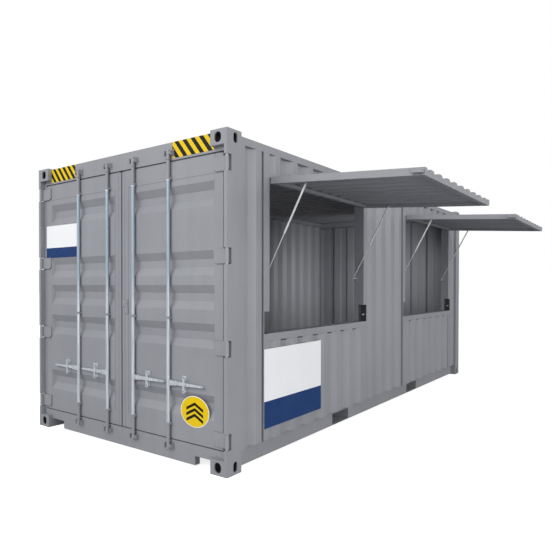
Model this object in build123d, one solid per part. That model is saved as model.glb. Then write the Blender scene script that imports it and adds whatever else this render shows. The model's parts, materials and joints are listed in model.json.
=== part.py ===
from build123d import *
import math
import os

# A 20 ft steel box turned into a serving cabin: cargo doors at one end, two top-hinged hatches
# on one long side. Origin at the middle of the base, on the ground. +X runs from the cargo
# doors to the blind end, -Y is the serving side, +Z is up. All sizes are millimetres.

# Overall box
LENGTH = 6058.0
WIDTH = 2438.0
HEIGHT = 2591.0
HALF_L = LENGTH / 2
HALF_W = WIDTH / 2
DOOR_END = -HALF_L
SERVING_SIDE = -HALF_W
SHEET = 2.0
RUN_GAP = 6.0
SEAT_GAP = 0.3
# How far a cut runs past the face that it opens
OVERCUT = 1.0

# Corner castings: hollow blocks with a slot below or above and an oval hole in each outer face
CASTING_L = 178.0
CASTING_W = 162.0
CASTING_H = 118.0
CASTING_WALL = 28.0
SLOT_FROM_END = 102.5
SLOT_FROM_SIDE = 89.5
SLOT_LENGTH = 124.5
SLOT_WIDTH = 63.5
SIDE_HOLE_WIDTH = 51.0
END_HOLE_WIDTH = 63.5
OVAL_HEIGHT = 79.5
OVAL_Z = 59.0
OVAL_ROUNDNESS = 0.98

# Base frame
UNDER_CLEARANCE = 12.0
RAIL_TOP = 163.0
RAIL_RECESS = 70.0
RAIL_PLATE = 6.0
RAIL_FLANGE = 50.0
RAIL_LEDGE = 32.0
POCKET_SPACING = 2088.0
POCKET_WIDTH = 360.0
POCKET_HEIGHT = 115.0
POCKET_STRAP = 200.0
FLOOR_THICKNESS = 28.0
FLOOR_TOP = 168.0
CROSS_DEPTH = 120.0
CROSS_WIDTH = 45.0
CROSS_PLATE = 4.0
CROSS_COUNT = 19

# Door end
DOOR_RECESS = 45.0
SILL_TOP = 150.0
SILL_DEPTH = 56.0
SILL_LOWER_HALF = 865.0
SILL_CUT_TOP = 85.0
LIP_HEIGHT = 22.0
LIP_DEPTH = 15.0
HEADER_DROP = 6.0
HEADER_HEIGHT = 148.0
HEADER_TOP = HEIGHT - HEADER_DROP
HEADER_BOTTOM = HEADER_TOP - HEADER_HEIGHT
DOOR_POST_LENGTH = 226.0
POST_FLANGE = 30.0
POST_FLOOR = 50.0
POST_STEP = 60.0
POST_STEP_DEPTH = 120.0
POST_BACK = 50.0
POST_PLATE = 6.0
BEAM_PLATE = 5.0

# Blind end
END_POST_THICKNESS = 60.0
END_SHEET_RECESS = 4.0
END_WAVE_DEPTH = 46.0
END_WAVE_HALF_PITCH = 130.0
END_WAVE_FLANK = 18.0
END_HEADER_HEIGHT = 105.0
END_HEADER_BOTTOM = HEADER_TOP - END_HEADER_HEIGHT

# Side walls and roof
TOP_RAIL = 60.0
TOP_RAIL_DROP = 33.0
TOP_RAIL_BOTTOM = HEIGHT - TOP_RAIL_DROP - TOP_RAIL
WAVE_PITCH = 278.0
WAVE_OUTER = 72.0
WAVE_FLANK = 68.0
WAVE_DEPTH = 36.0
WAVE_START = 305.0
WAVE_FOOT = 3.0
ROOF_PITCH = 209.0
ROOF_DEPTH = 18.0
ROOF_FLANK = 20.0
ROOF_EDGE = 10.0
ROOF_MARGIN = 90.0

# Serving openings and their frames; starts are measured from the door-end plane
OPENING_WIDTH = 1829.0
OPENING_1_START = 561.0
OPENING_2_FROM_END = 2408.0
OPENING_2_START = LENGTH - OPENING_2_FROM_END
OPENING_BOTTOM = 1032.0
OPENING_TOP_DROP = 202.0
OPENING_TOP = TOP_RAIL_BOTTOM - OPENING_TOP_DROP
JAMB_WIDTH = 87.0
FRAME_DEPTH = 107.0
FRAME_SILL = 59.0
FRAME_HEAD = 44.0
TUBE_WALL = 4.0
LATCH_POCKET_WIDTH = 75.0
LATCH_POCKET_HEIGHT = 180.0
LATCH_POCKET_DEPTH = 62.0
LATCH_PIN_RADIUS = 7.0
LATCH_PIN_HEIGHT = 73.0
LATCH_REACH = 29.0
LATCH_LENGTH = 80.0
LATCH_RISE = 5.0
LATCH_THICKNESS = 27.0
LATCH_DEPTH = 13.5

# Hatches: drawn shut and flush in their openings, then raised about the hinge line
HATCH_RAISED = 86.0
HATCH_AXIS_DEPTH = 12.0
HATCH_AXIS_RISE = 3.0
HATCH_TOP_GAP = 16.0
HATCH_BOTTOM_GAP = 7.0
HATCH_BAR = 50.0
HATCH_THICKNESS = 54.0
HINGE_SHARES = (0.1, 0.5, 0.9)
HINGE_PLATE_LAP = 12.0
HATCH_WAVE_PITCH = 190.0
HATCH_WAVE_HEIGHT = 23.0
HATCH_WAVE_FLAT = 60.0
HATCH_WAVE_FLANK = 35.0
FASCIA = 4.0
HATCH_PIN_RADIUS = 5.0
HATCH_BARREL_RADIUS = 8.0
HATCH_BARREL_LENGTH = 70.0
HATCH_LUG = 12.0
PIN_PLAY = 0.4

# Gas struts: studs on the side bars' inner faces carry the heads, bosses on the posts the feet
STRUT_INSET = 70.0
STRUT_FOOT_DEPTH = 87.0
STRUT_FOOT_DROP = 797.0
STRUT_HEAD_DEPTH = 40.0
STRUT_HEAD_DROP = 320.0
CYLINDER_RADIUS = 8.0
CYLINDER_START = 24.0
CYLINDER_LENGTH = 449.0
CYLINDER_WALL = 2.0
NECK_RADIUS = 4.0
ROD_RADIUS = 4.5
ROD_INSERT = 24.0
EYE_RADIUS = 9.0
EYE_WIDTH = 8.0
STRUT_PIN_RADIUS = 4.0
STUD_HEAD_RADIUS = 7.0
STUD_HEAD = 4.0
STUD_SHOULDER_RADIUS = 8.0
FOOT_BOSS_RADIUS = 10.0
FOOT_PLATE = 28.0
FOOT_PLATE_THICKNESS = 5.0
EAR_GAP = 1.0

# Cargo doors
DOOR_EDGE = 70.0
DOOR_GAP = 7.0
DOOR_BOTTOM = 180.0
DOOR_TOP_GAP = 14.0
DOOR_TOP = HEADER_BOTTOM - DOOR_TOP_GAP
DOOR_HEIGHT = DOOR_TOP - DOOR_BOTTOM
DOOR_THICKNESS = 50.0
DOOR_STILE = 82.0
DOOR_CENTRE_STILE = 80.0
DOOR_TOP_MEMBER = 145.0
DOOR_BOTTOM_MEMBER = 130.0
SWAGE_SHARES = (0.869, 0.633, 0.514, 0.381, 0.136)
SWAGE_CENTRES = [DOOR_BOTTOM + share * DOOR_HEIGHT for share in SWAGE_SHARES]
SWAGE_HEIGHT = 190.0
SWAGE_FLANK = 64.0
SWAGE_DEPTH = 34.0
SWAGE_END_RUN = 20.0
SWAGE_OUTER = 1060.0
SWAGE_INNER_LEFT = 94.0
SWAGE_INNER_RIGHT = 132.0
GASKET = 4.0
GASKET_FRONT = 10.0
GASKET_DEPTH = 30.0

# Door hinges
HINGE_FROM_BOTTOM = 80.0
HINGE_FROM_TOP = 85.0
HINGE_COUNT = 4
HINGE_STEP = (DOOR_HEIGHT - HINGE_FROM_BOTTOM - HINGE_FROM_TOP) / (HINGE_COUNT - 1)
HINGE_HEIGHTS = [DOOR_BOTTOM + HINGE_FROM_BOTTOM + row * HINGE_STEP for row in range(HINGE_COUNT)]
HINGE_AXIS = 14.0
BLADE_HEIGHT = 110.0
BLADE_THICKNESS = 12.0
BLADE_REACH = 156.0
BLADE_CHAMFER = 22.0
BARREL_RADIUS = 14.0
PIN_RADIUS = 8.0
PIN_SEAT = 30.0
NOTCH_DEPTH = 54.0

# Lock bars, guides, catches and cams
BAR_OFFSETS = (594.0, 172.0)
BAR_RADIUS = 15.0
BAR_AXIS = 22.0
BAR_BOTTOM = 100.0
BAR_ABOVE_DOORWAY = 83.0
BAR_TOP = HEADER_BOTTOM + BAR_ABOVE_DOORWAY
GUIDE_FROM_BOTTOM = 124.0
GUIDE_FROM_TOP = 130.0
MIDDLE_GUIDE_SHARE = 0.439
GUIDE_HEIGHTS = (
    DOOR_BOTTOM + GUIDE_FROM_BOTTOM,
    DOOR_BOTTOM + MIDDLE_GUIDE_SHARE * DOOR_HEIGHT,
    DOOR_TOP - GUIDE_FROM_TOP,
)
GUIDE_HALF_WIDTH = 24.0
GUIDE_HEIGHT = 20.0
GUIDE_STRAP = 4.0
HANDLE_Z = 640.0
HANDLE_REACH = 367.0
HANDLE_THICKNESS = 10.0
HANDLE_ROOT_HEIGHT = 32.0
HANDLE_TIP_HEIGHT = 16.0
HUB_REACH = 60.0
HUB_HEIGHT = 40.0
CATCH_OFFSET = 175.0
CATCH_HEIGHT = 134.0
CATCH_WIDTH = 34.0
CATCH_PLATE = 5.0
CATCH_LUG_RADIUS = 6.0
CAM_ARM = 27.0
CAM_THICKNESS = 14.0
CAM_HEIGHT = 20.0
LOWER_CAM_Z = 122.0
CAM_ABOVE_DOORWAY = 60.0
CAM_CENTRES = (LOWER_CAM_Z, HEADER_BOTTOM + CAM_ABOVE_DOORWAY)
COLLAR_RADIUS = 19.0
COLLAR_HEIGHT = 14.0
LOWER_COLLAR_Z = 165.0
COLLAR_ABOVE_DOORWAY = 15.0
COLLAR_CENTRES = (LOWER_COLLAR_Z, HEADER_BOTTOM + COLLAR_ABOVE_DOORWAY)
KEEPER_GAP = 34.0
KEEPER_CHEEK = 6.0
KEEPER_HEIGHT = 40.0
KEEPER_FRONT = 12.0


def block(x0, x1, y0, y1, z0, z1):
    """A box between two corners."""
    centre = ((x0 + x1) / 2, (y0 + y1) / 2, (z0 + z1) / 2)
    return Pos(*centre) * Box(abs(x1 - x0), abs(y1 - y0), abs(z1 - z0))


def prism_z(points, z0, z1):
    """An upright prism from (x, y) points."""
    return extrude(Plane.XY.offset(z0) * make_face(Polyline(*points, close=True)), z1 - z0)


def prism_y(points, y0, y1):
    """A prism along Y from (x, z) points."""
    outline = Polyline(*[(x, 0, z) for x, z in points], close=True)
    return extrude(Pos(0, y0, 0) * make_face(outline), y1 - y0, dir=(0, 1, 0))


def prism_x(points, x0, x1):
    """A prism along X from (y, z) points."""
    outline = Polyline(*[(0, y, z) for y, z in points], close=True)
    return extrude(Pos(x0, 0, 0) * make_face(outline), x1 - x0, dir=(1, 0, 0))


def rod(start, end, radius):
    """A round bar between two points."""
    axis = Vector(*end) - Vector(*start)
    plane = Plane(origin=start, z_dir=axis)
    return extrude(plane * Circle(radius), axis.length)


def oval(width, height, depth, plane):
    """A slot with round ends, cut along the plane's normal both ways."""
    radius = min(width, height) / 2
    body = Rectangle(width, height)
    return extrude(plane * fillet(body.vertices(), radius * OVAL_ROUNDNESS), depth, both=True)


def to_plain_side(shape):
    """The same piece on the far long side."""
    return mirror(shape, about=Plane.XZ)


def to_blind_end(shape):
    """The same piece at the blind end."""
    return mirror(shape, about=Plane.YZ)


def save(name, *solids):
    """One STEP file for each named piece."""
    bodies = [solid for shape in solids for solid in shape.solids()]
    export_step(Compound(children=bodies), f"parts/{name}.step")


def from_door(distance):
    """The X of a point this far in from the door end."""
    return DOOR_END + distance


def from_serving(depth):
    """The Y of a point this deep behind the serving side's outer plane."""
    return SERVING_SIDE + depth


# Corner castings
def casting(top):
    """The casting at the door end of the serving side."""
    z0 = HEIGHT - CASTING_H if top else 0.0
    z1 = z0 + CASTING_H
    x1 = from_door(CASTING_L)
    y1 = from_serving(CASTING_W)
    shell = block(DOOR_END, x1, SERVING_SIDE, y1, z0, z1)
    wall = CASTING_WALL
    hollow = block(DOOR_END + wall, x1 - wall, SERVING_SIDE + wall, y1 - wall, z0 + wall, z1 - wall)
    slot_x = from_door(SLOT_FROM_END)
    slot_y = from_serving(SLOT_FROM_SIDE)
    slot_z = z1 if top else z0
    slot = oval(SLOT_LENGTH, SLOT_WIDTH, wall + OVERCUT, Plane.XY.move(Location((slot_x, slot_y, slot_z))))
    oval_z = z1 - OVAL_Z if top else z0 + OVAL_Z
    side_plane = Plane(origin=(slot_x, SERVING_SIDE, oval_z), x_dir=(1, 0, 0), z_dir=(0, -1, 0))
    end_plane = Plane(origin=(DOOR_END, slot_y, oval_z), x_dir=(0, 1, 0), z_dir=(-1, 0, 0))
    side_hole = oval(SIDE_HOLE_WIDTH, OVAL_HEIGHT, wall + OVERCUT, side_plane)
    end_hole = oval(END_HOLE_WIDTH, OVAL_HEIGHT, wall + OVERCUT, end_plane)
    return shell - hollow - slot - side_hole - end_hole


def four_corners(piece):
    """A piece of the door end's serving corner, repeated at all four corners."""
    far = to_plain_side(piece)
    return [piece, far, to_blind_end(piece), to_blind_end(far)]


# Base frame
def bottom_rail():
    """The recessed channel under the serving wall, notched for the two fork pockets."""
    x0 = from_door(CASTING_L)
    web_y = from_serving(RAIL_RECESS)
    web = block(x0, -x0, web_y, web_y + RAIL_PLATE, UNDER_CLEARANCE, RAIL_TOP)
    top = block(x0, -x0, web_y - RAIL_LEDGE, web_y + RAIL_FLANGE, RAIL_TOP - RAIL_PLATE, RAIL_TOP)
    foot = block(x0, -x0, web_y, web_y + RAIL_FLANGE, UNDER_CLEARANCE, UNDER_CLEARANCE + RAIL_PLATE)
    rail = web + top + foot
    for side in (-1, 1):
        centre = side * POCKET_SPACING / 2
        half = POCKET_WIDTH / 2 + RAIL_PLATE
        pocket_top = UNDER_CLEARANCE + POCKET_HEIGHT + RAIL_PLATE
        rail -= block(centre - half, centre + half, web_y - OVERCUT, web_y + RAIL_FLANGE + OVERCUT,
                      UNDER_CLEARANCE - OVERCUT, pocket_top)
    return rail


def pocket_sleeve(centre):
    """A fork pocket right across the base: two sides, a top, and a strap below at each end."""
    y0 = from_serving(RAIL_RECESS)
    half = POCKET_WIDTH / 2
    low = UNDER_CLEARANCE
    high = low + POCKET_HEIGHT
    sleeve = block(centre - half - RAIL_PLATE, centre + half + RAIL_PLATE, y0, -y0, low, high + RAIL_PLATE)
    sleeve -= block(centre - half, centre + half, y0 - OVERCUT, -y0 + OVERCUT, low - OVERCUT, high)
    strap = block(centre - half, centre + half, y0, y0 + POCKET_STRAP, low, low + RAIL_PLATE)
    return sleeve + strap + to_plain_side(strap)


def cross_members():
    """Channels across the base between the side rails' webs, none in the fork pockets."""
    high = FLOOR_TOP - FLOOR_THICKNESS
    low = high - CROSS_DEPTH
    y1 = HALF_W - RAIL_RECESS - RAIL_PLATE
    first = from_door(CASTING_L + CROSS_WIDTH)
    pitch = -2 * first / (CROSS_COUNT - 1)
    keep_clear = POCKET_WIDTH / 2 + RAIL_PLATE + RUN_GAP + CROSS_WIDTH / 2
    members = []
    for index in range(CROSS_COUNT):
        centre = first + index * pitch
        if abs(abs(centre) - POCKET_SPACING / 2) < keep_clear:
            continue
        x0 = centre - CROSS_WIDTH / 2
        x1 = centre + CROSS_WIDTH / 2
        member = block(x0, x1, -y1, y1, low, high)
        member -= block(x0 + CROSS_PLATE, x1 + OVERCUT, -y1 - OVERCUT, y1 + OVERCUT,
                        low + CROSS_PLATE, high - CROSS_PLATE)
        members.append(member)
    return members


def floor_board():
    """The plywood floor, between the side rails' webs and the two sills."""
    x0 = from_door(DOOR_RECESS + SILL_DEPTH)
    x1 = HALF_L - END_POST_THICKNESS
    y1 = HALF_W - RAIL_RECESS - RAIL_FLANGE - SEAT_GAP
    return block(x0, x1, -y1, y1, FLOOR_TOP - FLOOR_THICKNESS, FLOOR_TOP)


# Door end frame
def door_post():
    """The serving side's post: a flange at the corner, a rebate for the door, hinge notches."""
    section = [
        (0, 0),
        (CASTING_L, 0),
        (CASTING_L, POST_BACK),
        (POST_STEP_DEPTH, POST_BACK),
        (POST_STEP_DEPTH, POST_STEP),
        (POST_FLOOR, POST_STEP),
        (POST_FLOOR, POST_FLANGE),
        (0, POST_FLANGE),
    ]
    points = [(from_door(x), from_serving(y)) for x, y in section]
    post = prism_z(points, CASTING_H, HEIGHT - CASTING_H)
    post += block(from_door(CASTING_L), from_door(DOOR_POST_LENGTH), SERVING_SIDE,
                  from_serving(POST_BACK), RAIL_TOP, TOP_RAIL_BOTTOM)
    post -= block(from_door(NOTCH_DEPTH + POST_PLATE), from_door(DOOR_POST_LENGTH - POST_PLATE),
                  from_serving(POST_PLATE), from_serving(POST_BACK - POST_PLATE), 0, HEIGHT)
    axis_x = from_door(HINGE_AXIS)
    axis_y = from_serving(HINGE_AXIS)
    for height in HINGE_HEIGHTS:
        half = BLADE_HEIGHT / 2 + RUN_GAP
        post -= block(DOOR_END - OVERCUT, from_door(NOTCH_DEPTH), SERVING_SIDE - OVERCUT,
                      from_serving(POST_FLANGE), height - half, height + half)
        reach = half + PIN_SEAT
        post -= rod((axis_x, axis_y, height - reach), (axis_x, axis_y, height + reach), PIN_RADIUS)
    return post


def hinge_pins():
    """The four pins of the serving side's door, seated in its post above and below each notch."""
    x = from_door(HINGE_AXIS)
    y = from_serving(HINGE_AXIS)
    reach = BLADE_HEIGHT / 2 + RUN_GAP + PIN_SEAT
    return [rod((x, y, height - reach), (x, y, height + reach), PIN_RADIUS) for height in HINGE_HEIGHTS]


def door_sill():
    """The cross beam under the doors, cut away beside both castings, with a raised lip."""
    x0 = from_door(DOOR_RECESS)
    x1 = x0 + SILL_DEPTH
    casting_y = HALF_W - CASTING_W
    post_y = HALF_W - POST_STEP
    sill = block(x0, x1, -SILL_LOWER_HALF, SILL_LOWER_HALF, UNDER_CLEARANCE, SILL_CUT_TOP)
    sill += block(x0, x1, -casting_y, casting_y, SILL_CUT_TOP, SILL_TOP)
    sill += block(x0, x1, -post_y, post_y, CASTING_H, SILL_TOP)
    return sill + block(x0, x0 + LIP_DEPTH, -post_y, post_y, SILL_TOP, SILL_TOP + LIP_HEIGHT)


def door_header():
    """The box beam over the doors, with a lower strip that runs out to the posts."""
    x0 = from_door(DOOR_RECESS)
    x1 = from_door(CASTING_L)
    casting_y = HALF_W - CASTING_W
    post_y = HALF_W - POST_STEP
    under_casting = HEIGHT - CASTING_H
    header = block(x0, x1, -casting_y, casting_y, HEADER_BOTTOM, HEADER_TOP)
    header += block(x0, from_door(POST_STEP_DEPTH), -post_y, post_y, HEADER_BOTTOM, under_casting)
    return header - block(x0 + BEAM_PLATE, x1 - BEAM_PLATE, -casting_y - OVERCUT, casting_y + OVERCUT,
                          HEADER_BOTTOM + BEAM_PLATE, HEADER_TOP - BEAM_PLATE)


# Blind end frame
def blind_post():
    """The L-shaped post of the serving side at the blind end, folded from plate."""
    end = HALF_L
    points = [
        (end, SERVING_SIDE),
        (end - CASTING_L, SERVING_SIDE),
        (end - CASTING_L, from_serving(POST_BACK)),
        (end - END_POST_THICKNESS, from_serving(POST_BACK)),
        (end - END_POST_THICKNESS, from_serving(CASTING_W)),
        (end, from_serving(CASTING_W)),
    ]
    post = prism_z(points, CASTING_H, HEIGHT - CASTING_H)
    plate = POST_PLATE
    post -= block(end - CASTING_L + plate, end - plate, from_serving(plate), from_serving(POST_BACK - plate),
                  0, HEIGHT)
    return post - block(end - END_POST_THICKNESS + plate, end - plate, from_serving(POST_BACK),
                        from_serving(CASTING_W - plate), 0, HEIGHT)


def blind_sill():
    """The tube beam under the blind end wall."""
    y1 = HALF_W - CASTING_W
    x0 = HALF_L - END_POST_THICKNESS
    beam = block(x0, HALF_L, -y1, y1, UNDER_CLEARANCE, SILL_TOP)
    return beam - block(x0 + BEAM_PLATE, HALF_L - BEAM_PLATE, -y1 - OVERCUT, y1 + OVERCUT,
                        UNDER_CLEARANCE + BEAM_PLATE, SILL_TOP - BEAM_PLATE)


def blind_header():
    """The tube beam over the blind end wall."""
    y1 = HALF_W - CASTING_W
    x0 = HALF_L - CASTING_L
    beam = block(x0, HALF_L, -y1, y1, END_HEADER_BOTTOM, HEADER_TOP)
    return beam - block(x0 + BEAM_PLATE, HALF_L - BEAM_PLATE, -y1 - OVERCUT, y1 + OVERCUT,
                        END_HEADER_BOTTOM + BEAM_PLATE, HEADER_TOP - BEAM_PLATE)


def blind_wall():
    """The corrugated end sheet between the blind end posts."""
    outer_x = HALF_L - END_SHEET_RECESS
    inner_x = outer_x - END_WAVE_DEPTH
    edge = HALF_W - CASTING_W
    count = int((edge - END_WAVE_HALF_PITCH / 2 - END_WAVE_FLANK) // END_WAVE_HALF_PITCH) + 1
    half_line = []
    for index in range(count):
        y = END_WAVE_HALF_PITCH * (index + 0.5)
        near, far = (outer_x, inner_x) if index % 2 == 0 else (inner_x, outer_x)
        half_line += [(near, y - END_WAVE_FLANK / 2), (far, y + END_WAVE_FLANK / 2)]
    half_line.append((half_line[-1][0], edge))
    line = [(x, -y) for x, y in reversed(half_line)] + half_line
    back = [(x - SHEET, y) for x, y in reversed(line)]
    return prism_z(line + back, SILL_TOP, END_HEADER_BOTTOM)


# Side walls and roof
def wave_line(start, end):
    """The outer line of the side sheet, as (distance from door end, depth), between two ends."""
    flat = (WAVE_PITCH - WAVE_OUTER - 2 * WAVE_FLANK)
    corners = [(DOOR_POST_LENGTH, WAVE_DEPTH)]
    x = WAVE_START
    while x < LENGTH:
        corners += [(x, WAVE_DEPTH), (x + WAVE_FLANK, 0.0)]
        corners += [(x + WAVE_FLANK + WAVE_OUTER, 0.0), (x + 2 * WAVE_FLANK + WAVE_OUTER, WAVE_DEPTH)]
        x += 2 * WAVE_FLANK + WAVE_OUTER + flat

    def depth(at):
        for (x0, d0), (x1, d1) in zip(corners, corners[1:]):
            if x0 <= at <= x1:
                return d0 + (d1 - d0) * (at - x0) / (x1 - x0)
        return WAVE_DEPTH

    inside = [point for point in corners if start < point[0] < end]
    return [(start, depth(start))] + inside + [(end, depth(end))]


def wall_sheet(start, end, z0, z1):
    """A stretch of the serving side's corrugated sheet. Over the bottom rail a foot closes its ribs below."""
    line = [(from_door(x), from_serving(depth)) for x, depth in wave_line(start, end)]
    back = [(x, y + SHEET) for x, y in reversed(line)]
    sheet = prism_z(line + back, z0, z1)
    if z0 > RAIL_TOP:
        return sheet
    inner_y = from_serving(WAVE_DEPTH) + SHEET
    foot = line + [(from_door(end), inner_y), (from_door(start), inner_y)]
    return sheet + prism_z(foot, z0, z0 + WAVE_FOOT)


def top_rail():
    """The square tube along the top of the serving wall."""
    x0 = from_door(CASTING_L)
    top = TOP_RAIL_BOTTOM + TOP_RAIL
    tube = block(x0, -x0, SERVING_SIDE, from_serving(TOP_RAIL), TOP_RAIL_BOTTOM, top)
    return tube - block(x0 - OVERCUT, OVERCUT - x0, from_serving(TUBE_WALL),
                        from_serving(TOP_RAIL - TUBE_WALL), TOP_RAIL_BOTTOM + TUBE_WALL, top - TUBE_WALL)


def roof_rib(centre, grow):
    """One raised rib across the roof, smaller by the sheet on every side unless grown."""
    low = TOP_RAIL_BOTTOM + TOP_RAIL
    high = low + ROOF_DEPTH + grow
    half = ROOF_PITCH / 4 + grow
    y1 = HALF_W - ROOF_EDGE - ROOF_MARGIN + grow
    outline = [(centre - half - ROOF_FLANK, low), (centre - half, high)]
    outline += [(centre + half, high), (centre + half + ROOF_FLANK, low)]
    return prism_y(outline, -y1, y1)


def roof_panel():
    """The roof sheet with raised ribs across it, on the top rails and between the end beams."""
    x0 = from_door(CASTING_L)
    low = TOP_RAIL_BOTTOM + TOP_RAIL
    y1 = HALF_W - ROOF_EDGE
    count = int((-2 * x0 - ROOF_PITCH / 2) // ROOF_PITCH)
    centres = [(index - (count - 1) / 2) * ROOF_PITCH for index in range(count)]
    sheet = block(x0, -x0, -y1, y1, low, low + SHEET)
    sheet += [roof_rib(centre, SHEET) for centre in centres]
    return sheet - [roof_rib(centre, 0) for centre in centres]


# Serving openings
def tube_post(x0, x1):
    """An upright tube in the serving wall, from the bottom rail to the top rail."""
    y1 = from_serving(FRAME_DEPTH)
    wall = TUBE_WALL
    tube = block(x0, x1, SERVING_SIDE, y1, RAIL_TOP, TOP_RAIL_BOTTOM)
    return tube - block(x0 + wall, x1 - wall, SERVING_SIDE + wall, y1 - wall, 0, HEIGHT)


def tube_beam(x0, x1, z0, z1):
    """A level tube in the serving wall, closed by the posts at its ends."""
    y1 = from_serving(FRAME_DEPTH)
    wall = TUBE_WALL
    tube = block(x0, x1, SERVING_SIDE, y1, z0, z1)
    return tube - block(x0, x1, SERVING_SIDE + wall, y1 - wall, z0 + wall, z1 - wall)


def latch_pocket(edge, side, wall):
    """The pocket in a post beside an opening, or the box of plate round it."""
    deep_x = edge + side * (LATCH_POCKET_WIDTH + wall)
    top = OPENING_BOTTOM + LATCH_POCKET_HEIGHT + wall
    front = SERVING_SIDE - (0 if wall else OVERCUT)
    near_x = edge - side * (0 if wall else OVERCUT)
    back = from_serving(LATCH_POCKET_DEPTH + wall)
    return block(near_x, deep_x, front, back, OPENING_BOTTOM - wall, top)


def hinge_places(start):
    """The middles of the three hinges over an opening."""
    return [from_door(start + OPENING_WIDTH * share) for share in HINGE_SHARES]


def hinge_line():
    """The hatches' hinge line, as (y, z)."""
    return from_serving(HATCH_AXIS_DEPTH), OPENING_TOP + HATCH_AXIS_RISE


def hinge_notch(centre, wall):
    """The notch in a head tube's lower corner for a hinge, or the box of plate round it."""
    y, z = hinge_line()
    half = HATCH_BARREL_LENGTH / 2 + EAR_GAP + wall
    clear = HATCH_BARREL_RADIUS + RUN_GAP + wall
    front = SERVING_SIDE - (0 if wall else OVERCUT)
    low = OPENING_TOP - (0 if wall else OVERCUT)
    return block(centre - half, centre + half, front, y + clear, low, z + clear)


def strut_places(start):
    """The planes of an opening's two struts, each beside a side bar of the hatch."""
    return [(from_door(start + STRUT_INSET), 1), (from_door(start + OPENING_WIDTH - STRUT_INSET), -1)]


def opening_frame(start):
    """Two posts and two beams round an opening, with latch pockets, hinge lugs and strut feet."""
    x0 = from_door(start)
    x1 = from_door(start + OPENING_WIDTH)
    frame = tube_post(x0 - JAMB_WIDTH, x0) + tube_post(x1, x1 + JAMB_WIDTH)
    frame += tube_beam(x0, x1, OPENING_BOTTOM - FRAME_SILL, OPENING_BOTTOM)
    frame += tube_beam(x0, x1, OPENING_TOP, OPENING_TOP + FRAME_HEAD)
    for edge, side in ((x0, -1), (x1, 1)):
        frame += latch_pocket(edge, side, TUBE_WALL)
        frame -= latch_pocket(edge, side, 0)
        pin_y = from_serving(LATCH_POCKET_DEPTH / 2)
        pin_z = OPENING_BOTTOM + LATCH_PIN_HEIGHT
        deep_x = edge + side * LATCH_POCKET_WIDTH
        tip_x = edge + side * (LATCH_REACH + RUN_GAP)
        frame += rod((deep_x + side * OVERCUT, pin_y, pin_z), (tip_x, pin_y, pin_z), LATCH_PIN_RADIUS)
    y, z = hinge_line()
    for centre in hinge_places(start):
        frame += hinge_notch(centre, TUBE_WALL)
        frame -= hinge_notch(centre, 0)
        half = HATCH_BARREL_LENGTH / 2 + EAR_GAP
        for side in (-1, 1):
            inner = centre + side * half
            outer = inner + side * HATCH_LUG
            frame += rod((inner, y, z), (outer, y, z), HATCH_BARREL_RADIUS)
        frame += rod((centre - half - OVERCUT, y, z), (centre + half + OVERCUT, y, z), HATCH_PIN_RADIUS)
    foot_y = from_serving(STRUT_FOOT_DEPTH)
    foot_z = OPENING_TOP - STRUT_FOOT_DROP
    for plane, side in strut_places(start):
        wall_x = plane - side * STRUT_INSET
        plate = FOOT_PLATE / 2
        tip_x = plane - side * (EYE_WIDTH / 2 + 2 * SEAT_GAP)
        frame += block(wall_x, wall_x + side * FOOT_PLATE_THICKNESS, foot_y - plate, foot_y + plate,
                       foot_z - 2 * plate, foot_z + 2 * plate)
        frame += rod((wall_x, foot_y, foot_z), (tip_x, foot_y, foot_z), FOOT_BOSS_RADIUS)
    return frame


# Hatches
def raise_hatch(shape):
    """Swing a piece drawn in the shut hatch up to where it stands open."""
    y, z = hinge_line()
    return Pos(0, y, z) * Rot(-HATCH_RAISED, 0, 0) * Pos(0, -y, -z) * shape


def hatch_box():
    """The shut hatch's low and high edges."""
    return OPENING_BOTTOM + HATCH_BOTTOM_GAP, OPENING_TOP - HATCH_TOP_GAP


def hatch_wave(start):
    """The outer line of the hatch sheet between its side bars, as (x, y)."""
    x0 = from_door(start + RUN_GAP + HATCH_BAR)
    x1 = from_door(start + OPENING_WIDTH - RUN_GAP - HATCH_BAR)
    crest = SERVING_SIDE
    valley = SERVING_SIDE + HATCH_WAVE_HEIGHT
    count = int((x1 - x0) // HATCH_WAVE_PITCH)
    first = (x0 + x1 - count * HATCH_WAVE_PITCH) / 2
    margin = (HATCH_WAVE_PITCH - HATCH_WAVE_FLAT - 2 * HATCH_WAVE_FLANK) / 2
    line = [(x0, valley)]
    for index in range(count):
        x = first + index * HATCH_WAVE_PITCH + margin
        line += [(x, valley), (x + HATCH_WAVE_FLANK, crest)]
        line += [(x + HATCH_WAVE_FLANK + HATCH_WAVE_FLAT, crest)]
        line += [(x + 2 * HATCH_WAVE_FLANK + HATCH_WAVE_FLAT, valley)]
    return line + [(x1, valley)]


def hatch_sheet(start):
    """The ribbed sheet of a hatch, its ribs upright when shut."""
    low, high = hatch_box()
    line = hatch_wave(start)
    inner = [(x, y + SHEET) for x, y in reversed(line)]
    return prism_z(line + inner, low + FASCIA, high - FASCIA)


def hatch_barrels(start):
    """The hatch's halves of its hinges: a bored barrel, on a tab and plate on the top edge."""
    y, z = hinge_line()
    top = hatch_box()[1]
    plate_back = from_serving(HATCH_WAVE_HEIGHT + SHEET + HINGE_PLATE_LAP)
    made = []
    for centre in hinge_places(start):
        half = HATCH_BARREL_LENGTH / 2
        barrel = rod((centre - half, y, z), (centre + half, y, z), HATCH_BARREL_RADIUS)
        barrel += block(centre - half, centre + half, y - HATCH_PIN_RADIUS, y + HATCH_PIN_RADIUS, top, z)
        barrel += block(centre - half, centre + half, y, plate_back, top, top + FASCIA)
        made.append(barrel - rod((centre - half - OVERCUT, y, z), (centre + half + OVERCUT, y, z),
                                 HATCH_PIN_RADIUS + PIN_PLAY))
    return made


def strut_head():
    """The struts' upper pivot with the hatch shut, as (y, z)."""
    return from_serving(STRUT_HEAD_DEPTH), hinge_line()[1] - STRUT_HEAD_DROP


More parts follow.
